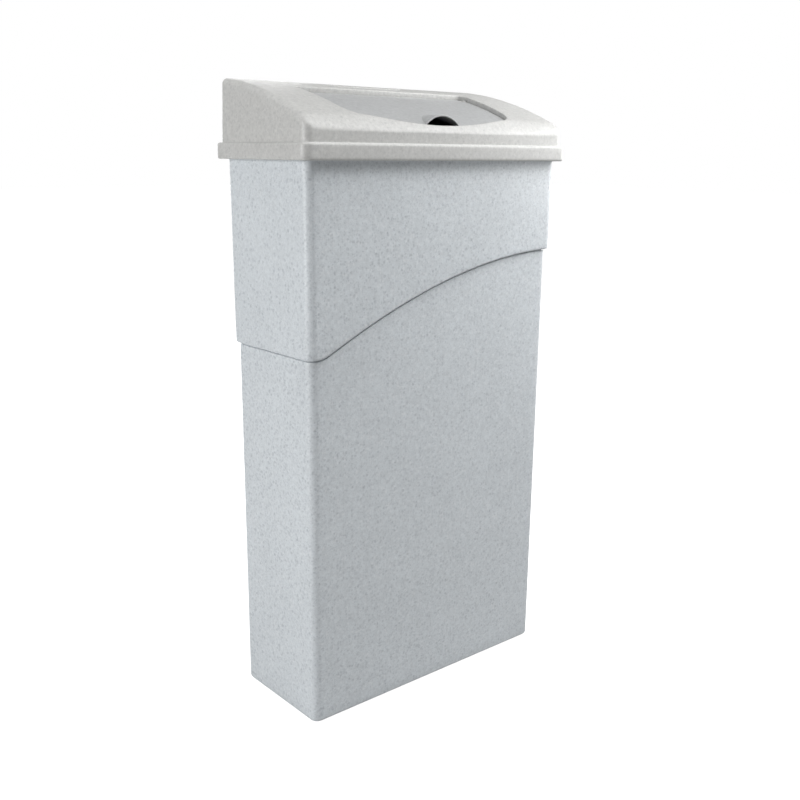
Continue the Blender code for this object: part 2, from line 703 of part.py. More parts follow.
def main():
    clear_scene()
    parts = new_collection("ashtray_bin")
    helpers = new_collection("cutters")
    helpers.hide_render = True
    granite = material("granite_plastic", (0.62, 0.66, 0.68), 0.45)
    warm_granite = material("warm_granite_plastic", (0.70, 0.69, 0.66), 0.42)
    dark_plastic = material("dark_plastic", (0.06, 0.06, 0.065), 0.5)
    rubber = material("rubber", (0.03, 0.03, 0.03), 0.8)
    steel = material("galvanised_steel", (0.55, 0.56, 0.57), 0.35, 1.0)
    nylon = material("nylon", (0.75, 0.74, 0.70), 0.4)

    finish(make_body(helpers), granite, parts)
    finish(make_bag_ring(helpers), dark_plastic, parts)
    for number, (x, y) in enumerate(foot_places(), 1):
        foot = cylinder(f"foot_pad_{number}", (x, y, 0), (x, y, FOOT_HEIGHT), FOOT_RADIUS, helpers)
        finish(foot, rubber, parts, (x, y, 0))

    finish(make_lid(helpers), warm_granite, parts)
    hinge = (0, HINGE_Y, flap_top(HINGE_Y) - HINGE_DROP)
    finish(make_flap(helpers), granite, parts, hinge)
    for side in (-1, 1):
        label = "left" if side < 0 else "right"
        pin, bush = make_hinge_piece(side, helpers)
        finish(pin, steel, parts)
        finish(bush, nylon, parts)
        finish(make_bumper(side, helpers), rubber, parts)
        finish(make_rail(side, helpers), steel, parts)
        for number, x in enumerate(SCREW_X, 1):
            finish(make_screw(f"rail_screw_{label}_{number}", side * x, helpers), steel, parts)
    finish(make_pan(helpers), steel, parts, (0, PAN_BACK, PAN_RIM_Z))


main()
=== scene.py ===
"""Looks of the slim litter bin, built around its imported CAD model.

Metres, +Z up. Every big outline is a rounded rectangle sampled at the same ring of places, so any
two outlines join point by point. The lid's and flap's heights are functions of depth, as in the CAD.
"""

import json
import math

import bmesh
import bpy
import numpy as np
from mathutils import Matrix, Vector


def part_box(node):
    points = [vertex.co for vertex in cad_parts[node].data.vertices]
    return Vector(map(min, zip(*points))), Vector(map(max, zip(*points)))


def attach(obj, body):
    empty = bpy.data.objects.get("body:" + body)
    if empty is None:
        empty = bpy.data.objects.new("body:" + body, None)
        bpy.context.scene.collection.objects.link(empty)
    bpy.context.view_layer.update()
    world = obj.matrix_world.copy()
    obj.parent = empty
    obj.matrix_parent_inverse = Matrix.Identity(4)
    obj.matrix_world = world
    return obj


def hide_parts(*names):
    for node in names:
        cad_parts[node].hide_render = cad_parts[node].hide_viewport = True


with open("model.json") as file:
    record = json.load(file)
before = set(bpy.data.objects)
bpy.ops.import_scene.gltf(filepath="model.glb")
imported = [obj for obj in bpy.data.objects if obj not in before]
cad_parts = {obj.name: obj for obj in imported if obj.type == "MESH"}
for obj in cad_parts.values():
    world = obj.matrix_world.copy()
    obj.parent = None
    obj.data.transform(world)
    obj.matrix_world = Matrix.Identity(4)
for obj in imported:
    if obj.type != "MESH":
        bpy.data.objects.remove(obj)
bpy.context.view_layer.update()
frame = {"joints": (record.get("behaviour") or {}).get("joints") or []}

LID_LOW, LID_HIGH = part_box("lid_hood")
BODY_LOW, BODY_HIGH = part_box("bin_body")
FLAP_LOW, FLAP_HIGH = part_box("flap")
RING_LOW, RING_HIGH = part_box("bag_ring")
PAN_LOW, PAN_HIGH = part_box("ash_pan")
HINGE = Vector(next(joint["pos_m"] for joint in frame["joints"] if joint["name"] == "flap_hinge"))
SIDES = {"left": -1, "right": 1}

# Body
FLANGE_REACH = 0.0075
BODY_HALF_X = BODY_HIGH.x - FLANGE_REACH
BODY_HALF_Y = BODY_HIGH.y - FLANGE_REACH
BODY_TOP = BODY_HIGH.z
BODY_FLOOR = BODY_LOW.z
UPPER_DRAFT = 0.0056  # how far each side of the upper part leans in, per metre of height
LOWER_DRAFT = 0.0020
BODY_CORNER = 0.0125
BODY_WALL = 0.0035
BASE_THICKNESS = 0.006
BASE_ROUNDING = 0.006
FLANGE_THICKNESS = 0.004
REBATE = 0.004
REBATE_DEPTH = 0.0083
STEP = 0.0043
STEP_LOW = 0.5385
STEP_HIGH = 0.6635
STEP_MIDDLE = (STEP_LOW + STEP_HIGH) / 2
STEP_CREST_X = 0.235
STEP_RISE = 0.564
STEP_POWER = 1.87
STEP_BLEND = 0.004
BAND_ROUNDING = 0.003  # along the upper part's lower edge
GROOVE_HEIGHT = 0.0026  # the shadow gap under that edge
GROOVE_DEPTH = 0.0019

# Lid
SKIRT_BOTTOM = LID_LOW.z
SKIRT_HEIGHT = 0.022
SKIRT_TOP = SKIRT_BOTTOM + SKIRT_HEIGHT
SKIRT_CORNER = 0.012
SKIRT_BOTTOM_EDGE = 0.0035
SKIRT_TOP_EDGE = 0.0035
SKIRT_HOLLOW = 0.0010  # the small inside rounding between the skirt's top and the hood
HOOD_HALF_X = LID_HIGH.x - 0.0055
HOOD_HALF_Y = LID_HIGH.y - 0.00485
HOOD_DRAFT = 0.030
HOOD_CORNER = 0.011
HOOD_FRONT_TOP = SKIRT_TOP + 0.0159
LID_WALL = 0.003
NOSE = 0.018
NOSE_POWER_MIDDLE = 1.12  # 1 is a flat chamfer and 2 is a round nose
NOSE_POWER_SIDE = 1.5
CROWN_SLOPE = 0.2762
CROWN_BEND = -0.8756
CROWN_PEAK_Y = 0.0961  # the lid is highest where its back rounding starts
CROWN_HEIGHT = LID_HIGH.z - CROWN_SLOPE * CROWN_PEAK_Y - CROWN_BEND * CROWN_PEAK_Y**2
EDGE_SIDE = 0.0095
EDGE_FRONT = 0.0025
EDGE_BACK = 0.006
GRIP_FRONT = 0.056
GRIP_BACK = 0.0805
GRIP_DEPTH = 0.0032
GRIP_HALF_WIDTH = 0.072

# Mouth, ledge and flap
MOUTH_HALF_X = 0.160
MOUTH_BACK = 0.0400
MOUTH_FRONT = -0.0805
MOUTH_BULGE = 0.0160
MOUTH_TAPER = 0.05
MOUTH_CORNER = 0.010
MOUTH_FRONT_CORNER = 0.024
MOUTH_DIP = 0.0003  # the lid's top sinks this much towards the middle of the front edge
MOUTH_RIM = 0.0016
LEDGE_DROP = 0.0050
LEDGE_THICKNESS = 0.003
LEDGE_WIDTH = 0.0075
LEDGE_BACK_WIDTH = 0.0002
FLAP_DROP = 0.0070
FLAP_THICKNESS = 0.0028
FLAP_GAP = 0.0014
FLAP_BACK_GAP = MOUTH_BACK - FLAP_HIGH.y
FLAP_EDGE = 0.0009
NOTCH_Y = 0.0234
BARREL_RADIUS = 0.0040
BARREL_INNER_X = 0.112
BARREL_OUTER_X = 0.1495
COWL_RADIUS = 0.0422
COWL_CENTRE_Z = 0.8150
COWL_WALL = 0.0025
COWL_FRONT = FLAP_LOW.y + 0.0005
COWL_BACK = -0.046

# Hinge
PIN_RADIUS = 0.0020
LUG_INNER_X = 0.1518
BUSH_RADIUS = 0.0033

# Pan and rails
PAN_HALF_X = 0.058
PAN_SHEET = 0.0012
PAN_RIM = 0.0045
PAN_FRONT = -0.0845
PAN_BACK = PAN_HIGH.y - PAN_RIM
RIM_TOP = 0.8261
CHUTE_HALF_X = 0.038
RAIL_WALL = 0.0014
SCREW_RADIUS = 0.0016
SCREW_HEAD = 0.0035
GAP = 0.0003  # between pieces that rest on each other

# How finely outlines are sampled
CORNER_STEPS = 10
LONG_STEPS = 100
SHORT_STEPS = 44


def ring_parameters():
    """For each place round a rounded rectangle: its share of the way across and along, and its outward direction."""
    rows = []
    corners = ((1, -1, -90), (1, 1, 0), (-1, 1, 90), (-1, -1, 180))
    for index, (side_x, side_y, start) in enumerate(corners):
        for step in range(CORNER_STEPS + 1):
            angle = math.radians(start + 90 * step / CORNER_STEPS)
            rows.append((side_x, side_y, math.cos(angle), math.sin(angle)))
        next_x, next_y, _ = corners[(index + 1) % 4]
        steps = SHORT_STEPS if index % 2 == 0 else LONG_STEPS
        angle = math.radians(start + 90)
        for step in range(1, steps):
            share = step / steps
            across = side_x + (next_x - side_x) * share
            along = side_y + (next_y - side_y) * share
            rows.append((across, along, math.cos(angle), math.sin(angle)))
    return np.array(rows).T


ACROSS, ALONG, OUT_X, OUT_Y = ring_parameters()
RING_COUNT = len(ACROSS)


def outline(half_x, front, back, corner):
    """The ring's (x, y) for a rounded rectangle. Any argument may differ from place to place."""
    middle = (front + back) / 2
    half_y = (back - front) / 2
    x = ACROSS * (half_x - corner) + OUT_X * corner
    y = middle + ALONG * (half_y - corner) + OUT_Y * corner
    return x, y


def points(x, y, z):
    return np.column_stack(np.broadcast_arrays(x, y, z))


def turn(start, end, steps):
    """(cosine, sine) of evenly spaced angles, given in degrees."""
    for angle in np.radians(np.linspace(start, end, steps + 1)):
        yield math.cos(angle), math.sin(angle)


def new_piece(name, mesh):
    piece = bpy.data.objects.new(name, mesh)
    bpy.context.scene.collection.objects.link(piece)
    return piece


def from_bmesh(name, bm):
    bmesh.ops.recalc_face_normals(bm, faces=bm.faces)
    mesh = bpy.data.meshes.new(name)
    bm.to_mesh(mesh)
    bm.free()
    return new_piece(name, mesh)


def loft(name, rings, capped=False):
    """A skin through rings of equally many points. The last ring joins the first, or both ends get flat caps."""
    count = len(rings[0])
    faces = []
    for row in range(len(rings) - (1 if capped else 0)):
        lower = row * count
        upper = (row + 1) % len(rings) * count
        for i in range(count):
            j = (i + 1) % count
            faces.append((lower + i, lower + j, upper + j, upper + i))
    if capped:
        last = (len(rings) - 1) * count
        faces.append(tuple(range(count - 1, -1, -1)))
        faces.append(tuple(range(last, last + count)))
    mesh = bpy.data.meshes.new(name)
    mesh.from_pydata(np.concatenate(rings).tolist(), [], faces)
    bm = bmesh.new()
    bm.from_mesh(mesh)
    bpy.data.meshes.remove(mesh)
    return from_bmesh(name, bm)


def lathe(name, profile, start, end, steps=48, capped=True):
    """A closed turned shape from start to end. profile holds (share of the way, radius), from end to end."""
    axis = (Vector(end) - Vector(start)).normalized()
    side = axis.orthogonal().normalized()
    other = axis.cross(side)
    length = (Vector(end) - Vector(start)).length
    angles = np.linspace(0, 2 * math.pi, steps, endpoint=False)
    around = np.outer(np.cos(angles), side) + np.outer(np.sin(angles), other)
    rings = [np.array(start) + np.array(axis) * (length * share) + around * radius for share, radius in profile]
    return loft(name, rings, capped)


def bar(name, start, end, radius, rounding, steps=48):
    length = (Vector(end) - Vector(start)).length
    return lathe(name, rounded_bar_profile(length, radius, rounding), start, end, steps)


def rounded_bar_profile(length, radius, rounding, steps=4):
    """(share of the way, radius) along a round bar with rounded end edges."""
    first = []
    for cosine, sine in turn(0, 90, steps):
        first.append((rounding * (1 - cosine) / length, radius - rounding * (1 - sine)))
    return first + [(1 - share, r) for share, r in reversed(first)]


def tube(name, profile, start, end, steps=48):
    """A turned shape with a bore. profile is a closed loop of (distance from start, radius)."""
    length = (Vector(end) - Vector(start)).length
    shares = [(distance / length, radius) for distance, radius in profile]
    return lathe(name, shares, start, end, steps, capped=False)


def prism(name, outline_2d, low, high, axis, rounding=0.0, segments=2):
    """A flat outline extruded from low to high along an axis, with every edge softened."""
    place = {"X": lambda u, v, w: (w, u, v), "Y": lambda u, v, w: (u, w, v), "Z": lambda u, v, w: (u, v, w)}[axis]
    bm = bmesh.new()
    face = bm.faces.new([bm.verts.new(place(u, v, low)) for u, v in outline_2d])
    top = bmesh.ops.extrude_face_region(bm, geom=[face])["geom"]
    moved = [item for item in top if isinstance(item, bmesh.types.BMVert)]
    bmesh.ops.translate(bm, verts=moved, vec=Vector(place(0, 0, high - low)))
    bmesh.ops.recalc_face_normals(bm, faces=bm.faces)
    if rounding:
        bmesh.ops.bevel(bm, geom=bm.edges[:], offset=rounding, segments=segments, profile=0.5, affect="EDGES")
    return from_bmesh(name, bm)


def merge(name, pieces):
    """One object that holds the meshes of several, left as separate shells."""
    bm = bmesh.new()
    for piece in pieces:
        bm.from_mesh(piece.data)
        bpy.data.objects.remove(piece, do_unlink=True)
    return from_bmesh(name, bm)


def rounded_box(name, low, high, rounding, segments=3):
    bm = bmesh.new()
    size = Vector(high) - Vector(low)
    middle = (Vector(high) + Vector(low)) / 2
    bmesh.ops.create_cube(bm, size=1.0, matrix=Matrix.Translation(middle) @ Matrix.Diagonal((*size, 1)))
    if rounding:
        bmesh.ops.bevel(bm, geom=bm.edges[:], offset=rounding, segments=segments, profile=0.5, affect="EDGES")
    return from_bmesh(name, bm)


def combine(target, others, operation):
    """Applies a Boolean of target with helpers, which are then deleted."""
    for other in others:
        modifier = target.modifiers.new(operation, "BOOLEAN")
        modifier.operation = operation
        modifier.object = other
    bpy.context.view_layer.update()
    graph = bpy.context.evaluated_depsgraph_get()
    mesh = bpy.data.meshes.new_from_object(target.evaluated_get(graph))
    old = target.data
    target.modifiers.clear()
    target.data = mesh
    bpy.data.meshes.remove(old)
    for other in others:
        bpy.data.objects.remove(other, do_unlink=True)


def finish_piece(piece, surface, body, node, sharp=35):
    """Gives a finished piece its material and its body, and hides the CAD node that it stands for."""
    piece.data.materials.clear()
    piece.data.materials.append(surface)
    piece.data.shade_smooth()
    piece.data.set_sharp_from_angle(angle=math.radians(sharp))
    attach(piece, body)
    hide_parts(node)
    return piece


# ---------------------------------------------------------------- body


def wave_height(x):
    """Height of the step in the body's wall at width x."""
    fall = STEP_RISE * np.maximum(STEP_CREST_X - x, 0.0) ** STEP_POWER
    wave = STEP_HIGH - fall
    return (STEP_LOW + wave + np.hypot(wave - STEP_LOW, STEP_BLEND)) / 2


def upper_lean(z):
    """How far the upper part's wall has leaned in at height z."""
    return UPPER_DRAFT * (SKIRT_BOTTOM - z)


def lower_lean(z):
    return upper_lean(STEP_MIDDLE) + STEP + LOWER_DRAFT * (STEP_MIDDLE - z)


def wall_ring(z, inset, corner=BODY_CORNER):
    """The body's outline at height z, moved in by inset from its size at the skirt."""
    x, y = outline(BODY_HALF_X - inset, -(BODY_HALF_Y - inset), BODY_HALF_Y - inset, corner)
    return points(x, y, z)


def outer_wall_rings(wave):
    """Up the outside, from the base to under the rim's flange."""
    rings = []
    for cosine, sine in turn(0, 90, 8):
        inwards = BASE_ROUNDING * (1 - sine)
        z = BODY_FLOOR + BASE_ROUNDING * (1 - cosine)
        rings.append(wall_ring(z, lower_lean(z) + inwards, BODY_CORNER - inwards))
    base = BODY_FLOOR + BASE_ROUNDING
    groove = wave - GROOVE_HEIGHT
    for share in np.linspace(0, 1, 40)[1:]:
        z = base + (groove - base) * share
        rings.append(wall_ring(z, lower_lean(z)))
    rings.append(wall_ring(groove + 0.0004, lower_lean(groove) + GROOVE_DEPTH * 0.8))
    rings.append(wall_ring(groove + 0.0008, lower_lean(groove) + GROOVE_DEPTH))
    rings.append(wall_ring(wave, lower_lean(wave) + GROOVE_DEPTH))
    for cosine, sine in turn(0, 90, 6):
        z = wave + BAND_ROUNDING * (1 - cosine)
        rings.append(wall_ring(z, upper_lean(z) + BAND_ROUNDING * (1 - sine)))
    band = wave + BAND_ROUNDING
    collar = BODY_TOP - REBATE_DEPTH - 0.012
    for share in np.linspace(0, 1, 24)[1:]:
        z = band + (collar - band) * share
        rings.append(wall_ring(z, upper_lean(z)))
    seat = BODY_TOP - REBATE_DEPTH
    for share in (0.25, 0.5, 0.75, 1.0):
        z = collar + (seat - collar) * share
        rings.append(wall_ring(z, upper_lean(z) - REBATE * share))
    return rings


def rim_rings():
    """Round the rim's flange and down to the bag ring's seat."""
    rings = []
    under = BODY_TOP - FLANGE_THICKNESS
    edge = 0.001
    rings.append(wall_ring(under - edge, -REBATE))
    rings.append(wall_ring(under, -REBATE - edge, BODY_CORNER + edge))
    for z_side, turned in ((under, turn(0, 90, 4)), (BODY_TOP, turn(90, 0, 4))):
        for cosine, sine in turned:
            inwards = edge * (1 - sine)
            z = z_side + (edge if z_side == under else -edge) * (1 - cosine)
            rings.append(wall_ring(z, inwards - FLANGE_REACH, BODY_CORNER + FLANGE_REACH - inwards))
    opening = BODY_WALL - REBATE
    for cosine, sine in turn(90, 0, 3):
        rings.append(wall_ring(BODY_TOP - edge * (1 - sine), opening - edge * (1 - cosine)))
    seat = BODY_TOP - REBATE_DEPTH
    inner_corner = BODY_CORNER - BODY_WALL
    rings.append(wall_ring(seat + 0.0005, opening))
    rings.append(wall_ring(seat, opening + 0.0005))
    rings.append(wall_ring(seat, BODY_WALL - 0.0008, inner_corner + 0.0008))
    return rings


def inner_wall_rings(wave):
    """Down the inside to the floor."""
    rings = []
    corner = BODY_CORNER - BODY_WALL
    top = BODY_TOP - REBATE_DEPTH - 0.0008
    bend_top = wave + 0.016
    for share in np.linspace(0, 1, 16):
        z = top + (bend_top - top) * share
        rings.append(wall_ring(z, upper_lean(z) + BODY_WALL, corner))
    bend_low = wave + 0.002
    for share in np.linspace(0, 1, 7)[1:]:
        smooth = share * share * (3 - 2 * share)
        z = bend_top + (bend_low - bend_top) * share
        lean = upper_lean(z) + (lower_lean(z) - upper_lean(z)) * smooth
        rings.append(wall_ring(z, lean + BODY_WALL, corner))
    rounding = 0.004
    low = BODY_FLOOR + BASE_THICKNESS + rounding
    for share in np.linspace(0, 1, 26)[1:]:
        z = bend_low + (low - bend_low) * share
        rings.append(wall_ring(z, lower_lean(z) + BODY_WALL, corner))
    for cosine, sine in turn(90, 0, 6):
        if sine < 1:
            z = low - rounding * cosine
            inwards = rounding * (1 - sine)
            rings.append(wall_ring(z, lower_lean(z) + BODY_WALL + inwards, corner - inwards))
    return rings


def make_body(surface):
    wave = wave_height(ACROSS * (BODY_HALF_X - BODY_CORNER) + OUT_X * BODY_CORNER)
    rings = outer_wall_rings(wave) + rim_rings() + inner_wall_rings(wave)
    body = loft("body_shell", rings, capped=True)
    pockets = []
    for number in range(1, 5):
        low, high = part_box(f"foot_pad_{number}")
        middle = (low + high) / 2
        radius = (high.x - low.x) / 2 + 0.0006
        top = (middle.x, middle.y, high.z + 0.0003)
        pockets.append(bar("pocket", (middle.x, middle.y, -0.02), top, radius, 0.0004, 64))
    combine(body, [merge("pockets", pockets)], "DIFFERENCE")
    return finish_piece(body, surface, "bin", "bin_body")


# ---------------------------------------------------------------- lid


def crown(y):
    """Height of the lid's top at depth y."""
    return CROWN_HEIGHT + CROWN_SLOPE * y + CROWN_BEND * y * y


def hood_height(x, y):
    """The crown, rounded down to the top of the upright front face."""
    front = -HOOD_HALF_Y
    near = np.clip(1 - (y - front) / NOSE, 0.0, 1.0)
    sideways = np.clip(np.abs(x) / HOOD_HALF_X, 0.0, 1.0) ** 6
    power = NOSE_POWER_MIDDLE + (NOSE_POWER_SIDE - NOSE_POWER_MIDDLE) * sideways
    rise = crown(front + NOSE) - HOOD_FRONT_TOP
    return np.where(near > 0, HOOD_FRONT_TOP + rise * (1 - near**power) ** (1 / power), crown(y))


def flap_height(y):
    """Height of the flap's top at depth y."""
    return crown(y) - FLAP_DROP


def mouth_dip(x, y):
    """How far the lid's top sinks beside the mouth's front edge."""
    forward = np.clip((MOUTH_BACK - y) / (MOUTH_BACK - MOUTH_FRONT + MOUTH_BULGE), 0.0, 1.0)
    return MOUTH_DIP * forward**3 * (1 - 0.5 * (x / MOUTH_HALF_X) ** 2)


def mouth(inset, back_inset=None):
    """The lid's opening: a rectangle that narrows and bulges towards the front."""
    half_x = MOUTH_HALF_X - inset
    front = MOUTH_FRONT + inset
    back = MOUTH_BACK - (inset if back_inset is None else back_inset)
    rear_corner = np.maximum(MOUTH_CORNER - inset, 0.002)
    front_corner = np.maximum(MOUTH_FRONT_CORNER - inset, 0.002)
    corner = np.where(ALONG < 0, front_corner, rear_corner)
    x, y = outline(half_x, front, back, corner)
    forward = (back - y) / (back - front)
    bulge = MOUTH_BULGE * forward * (1 - (x / half_x) ** 2)
    return x * (1 - MOUTH_TAPER * forward), y - bulge


def skirt(inset):
    corner = max(SKIRT_CORNER - inset, 0.002)
    return outline(LID_HIGH.x - inset, -LID_HIGH.y + inset, LID_HIGH.y - inset, corner)


def hood(inset):
    corner = np.maximum(HOOD_CORNER - inset, 0.0015)
    return outline(HOOD_HALF_X - inset, -HOOD_HALF_Y + inset, HOOD_HALF_Y - inset, corner)


def hood_lean(z):
    """How far the hood's walls have leaned in at height z."""
    return HOOD_DRAFT * (z - SKIRT_TOP)


def between(a, b, share):
    return a[0] + (b[0] - a[0]) * share, a[1] + (b[1] - a[1]) * share


def skirt_rings():
    """Round the skirt, from its inner bottom edge to the foot of the hood."""
    rings = []
    small = 0.0006
    rings.append(points(*skirt(LID_WALL), SKIRT_BOTTOM + small))
    rings.append(points(*skirt(LID_WALL - small), SKIRT_BOTTOM))
    low = SKIRT_BOTTOM + SKIRT_BOTTOM_EDGE
    high = SKIRT_TOP - SKIRT_TOP_EDGE
    for cosine, sine in turn(0, 90, 5):
        inwards = (SKIRT_BOTTOM_EDGE - 0.0012) * (1 - sine)
        rings.append(points(*skirt(inwards), SKIRT_BOTTOM + SKIRT_BOTTOM_EDGE * (1 - cosine)))
    for share in (0.25, 0.5, 0.75):
        rings.append(points(*skirt(0.0), low + (high - low) * share))
    for cosine, sine in turn(0, 90, 6):
        rings.append(points(*skirt(SKIRT_TOP_EDGE * (1 - cosine)), SKIRT_TOP - SKIRT_TOP_EDGE * (1 - sine)))
    for cosine, sine in turn(0, 90, 4):
        rings.append(points(*hood(-SKIRT_HOLLOW * (1 - sine)), SKIRT_TOP + SKIRT_HOLLOW * (1 - cosine)))
    return rings


def hood_rings():
    """Up the hood's walls, over its rounded edges and across the crown to the mouth."""
    rings = []
    edge = EDGE_SIDE * OUT_X**2 + np.where(OUT_Y < 0, EDGE_FRONT, EDGE_BACK) * OUT_Y**2
    wall_low = SKIRT_TOP + SKIRT_HOLLOW
    wall_high = hood_height(*hood(0.0)) - edge
    for share in np.linspace(0, 1, 14)[1:]:
        z = wall_low + (wall_high - wall_low) * share
        rings.append(points(*hood(hood_lean(z)), z))
    lean = hood_lean(wall_high)
    for cosine, sine in turn(0, 90, 8):
        if sine > 0:
            x, y = hood(lean + edge * (1 - cosine))
            rings.append(points(x, y, hood_height(x, y) - edge * (1 - sine)))
    outer = hood(lean + edge)
    rim = mouth(-MOUTH_RIM)
    for share in np.linspace(0, 1, 40)[1:]:
        eased = share * (0.35 + 0.65 * share)
        x, y = between(outer, rim, eased)
        rings.append(points(x, y, hood_height(x, y) - mouth_dip(x, y) * eased**2))
    for cosine, sine in turn(90, 0, 5):
        if sine < 1:
            x, y = mouth(-MOUTH_RIM + MOUTH_RIM * cosine)
            rings.append(points(x, y, hood_height(x, y) - mouth_dip(x, y) - MOUTH_RIM * (1 - sine)))
    return rings


def under_rings():
    """Down the mouth's wall, round its ledge, and back under the crown to the skirt."""
    rings = []
    x, y = mouth(0.0)
    rim_z = hood_height(x, y) - mouth_dip(x, y) - MOUTH_RIM
    ledge_z = np.minimum(flap_height(y) - LEDGE_DROP, rim_z - 0.001)
    for share in (0.3, 0.65, 1.0):
        rings.append(points(x, y, rim_z + (ledge_z - rim_z) * share))
    for share in (0.5, 0.95):
        x, y = mouth(LEDGE_WIDTH * share, LEDGE_BACK_WIDTH * share)
        rings.append(points(x, y, flap_height(y) - LEDGE_DROP))
    x, y = mouth(LEDGE_WIDTH, LEDGE_BACK_WIDTH)
    rings.append(points(x, y, flap_height(y) - LEDGE_DROP - 0.0004))
    rings.append(points(x, y, flap_height(y) - LEDGE_DROP - LEDGE_THICKNESS))
    x, y = mouth(-0.001)
    rings.append(points(x, y, flap_height(y) - LEDGE_DROP - LEDGE_THICKNESS))
    under = mouth(-LID_WALL)
    lean = hood_lean(hood_height(*hood(LID_WALL)))
    inner = hood(LID_WALL + lean)
    for share in np.linspace(0, 1, 14)[:-1]:
        x, y = between(under, inner, share)
        rings.append(points(x, y, hood_height(x, y) - mouth_dip(x, y) - LID_WALL - 0.004 * share**4))
    shoulder = BODY_TOP + GAP
    top = hood_height(*inner) - LID_WALL - 0.0045
    for share in (0.0, 0.33, 0.66, 1.0):
        z = top + (shoulder - top) * share
        rings.append(points(*hood(LID_WALL + np.maximum(hood_lean(z), 0.0)), z))
    rings.append(points(*skirt(LID_WALL), shoulder))
    return rings


def along_hinge(x):
    return (x, HINGE.y, HINGE.z)


def screw_place(node):
    """The middle of a rail screw's axis line."""
    low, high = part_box(node)
    return (low + high) / 2


def make_lid(surface):
    lid = loft("lid_shell", skirt_rings() + hood_rings() + under_rings())
    added = []
    removed = []
    for label, side in SIDES.items():
        near, far = sorted((side * LUG_INNER_X, side * (MOUTH_HALF_X + 0.002)))
        low = (near, NOTCH_Y + 0.0025, HINGE.z - 0.0075)
        high = (far, MOUTH_BACK + 0.001, HINGE.z + 0.0046)
        added.append(rounded_box("lug", low, high, 0.0007))
        hole_start = along_hinge(side * (LUG_INNER_X - 0.01))
        hole_end = along_hinge(side * 0.1575)
        removed.append(bar("bush_hole", hole_start, hole_end, BUSH_RADIUS + GAP, 0.0002, 32))
        tab_low, tab_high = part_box("pan_rail_" + label)
        boss_low = (tab_low.x - 0.001, -HOOD_HALF_Y + LID_WALL * 0.6, tab_low.z + GAP)
        boss_high = (tab_high.x + 0.001, tab_low.y - GAP, tab_high.z + 0.0012)
        added.append(rounded_box("boss", boss_low, boss_high, 0.0006))
        for number in (1, 2):
            middle = screw_place(f"rail_screw_{label}_{number}")
            start = (middle.x, tab_low.y + 0.01, middle.z)
            end = (middle.x, tab_low.y - GAP - 0.0048, middle.z)
            removed.append(bar("screw_hole", start, end, SCREW_RADIUS + GAP, 0.0002, 24))
    chute_front = PAN_LOW.y
    slot_low = (-CHUTE_HALF_X - 0.002, chute_front - 0.0012, 0.80)
    slot_high = (CHUTE_HALF_X + 0.002, -0.080, 0.8455)
    removed.append(rounded_box("ash_drop", slot_low, slot_high, 0.0008))
    combine(lid, [merge("lid_blocks", added)], "UNION")
    combine(lid, [merge("lid_holes", removed), grip_cutter()], "DIFFERENCE")
    return finish_piece(lid, surface, "lid", "lid_hood")


def grip_cutter():
    """The hollow of the hand grip: a ramp that deepens to its upright back wall, with sloping ends."""
    rings = []
    for share, sink in ((0.0, 0.0), (0.012, 0.45), (0.03, 0.8), (0.06, 1.0), (0.94, 1.0), (0.97, 0.8), (0.988, 0.45), (1.0, 0.0)):
        x = -GRIP_HALF_WIDTH + 2 * GRIP_HALF_WIDTH * share
        front_z = float(crown(GRIP_FRONT)) + 0.0002
        back_z = float(crown(GRIP_BACK))
        depth = GRIP_DEPTH * sink - 0.0002
        low = [
            (x, GRIP_FRONT, front_z),
            (x, (GRIP_FRONT + GRIP_BACK) / 2, float(crown((GRIP_FRONT + GRIP_BACK) / 2)) - depth * 0.45),
            (x, GRIP_BACK - 0.0012, back_z - depth),
            (x, GRIP_BACK - 0.0003, back_z - depth + 0.0004),
            (x, GRIP_BACK, back_z - depth + 0.0013),
        ]
        rings.append(np.array(low + [(x, GRIP_BACK + 0.0004, back_z + 0.02), (x, GRIP_FRONT, back_z + 0.02)]))
    return loft("grip", rings, capped=True)


# ---------------------------------------------------------------- flap


def panel_rings():
    """From the middle of the flap's underside, round its edge, to the middle of its top."""
    rings = []

    def add(share, inset, drop):
        x, y = mouth(FLAP_GAP + inset, FLAP_BACK_GAP + inset)
        y = -0.03 + (y + 0.03) * share
        rings.append(points(x * share, y, flap_height(y) - drop))

    shares = 1 - np.linspace(0.99, 0, 36) ** 1.3
    for share in shares:
        add(share, FLAP_EDGE, FLAP_THICKNESS)
    for cosine, sine in turn(0, 90, 4):
        if sine > 0:
            add(1.0, FLAP_EDGE * (1 - sine), FLAP_THICKNESS - FLAP_EDGE * (1 - cosine))
    for cosine, sine in turn(0, 90, 4):
        add(1.0, FLAP_EDGE * (1 - cosine), FLAP_EDGE * (1 - sine))
    for share in shares[::-1][1:]:
        add(share, FLAP_EDGE, 0.0)
    return rings


def cowl():
    """The arched hood over the ash mouth, from its rounded front edge back to where it dives into the flap."""
    rings = []
    edge = 0.0011
    fronts = [(edge * (1 - sine), edge * (1 - cosine)) for cosine, sine in turn(90, 0, 4)]
    stations = [(COWL_FRONT + edge - (edge - forward), shrink) for shrink, forward in reversed(fronts)]
    stations += [(y, 0.0) for y in np.linspace(COWL_FRONT + edge, COWL_BACK, 40)[1:]]
    for y, shrink in stations:
        radius = COWL_RADIUS + COWL_WALL - shrink
        rise = float(flap_height(y)) - FLAP_THICKNESS / 2 - COWL_CENTRE_Z
        if rise > radius - 0.0004:
            break
        reach = math.acos(rise / radius)
        angles = np.linspace(-reach, reach, 61)
        rings.append(points(radius * np.sin(angles), y, COWL_CENTRE_Z + radius * np.cos(angles)))
    return loft("cowl", rings, capped=True)


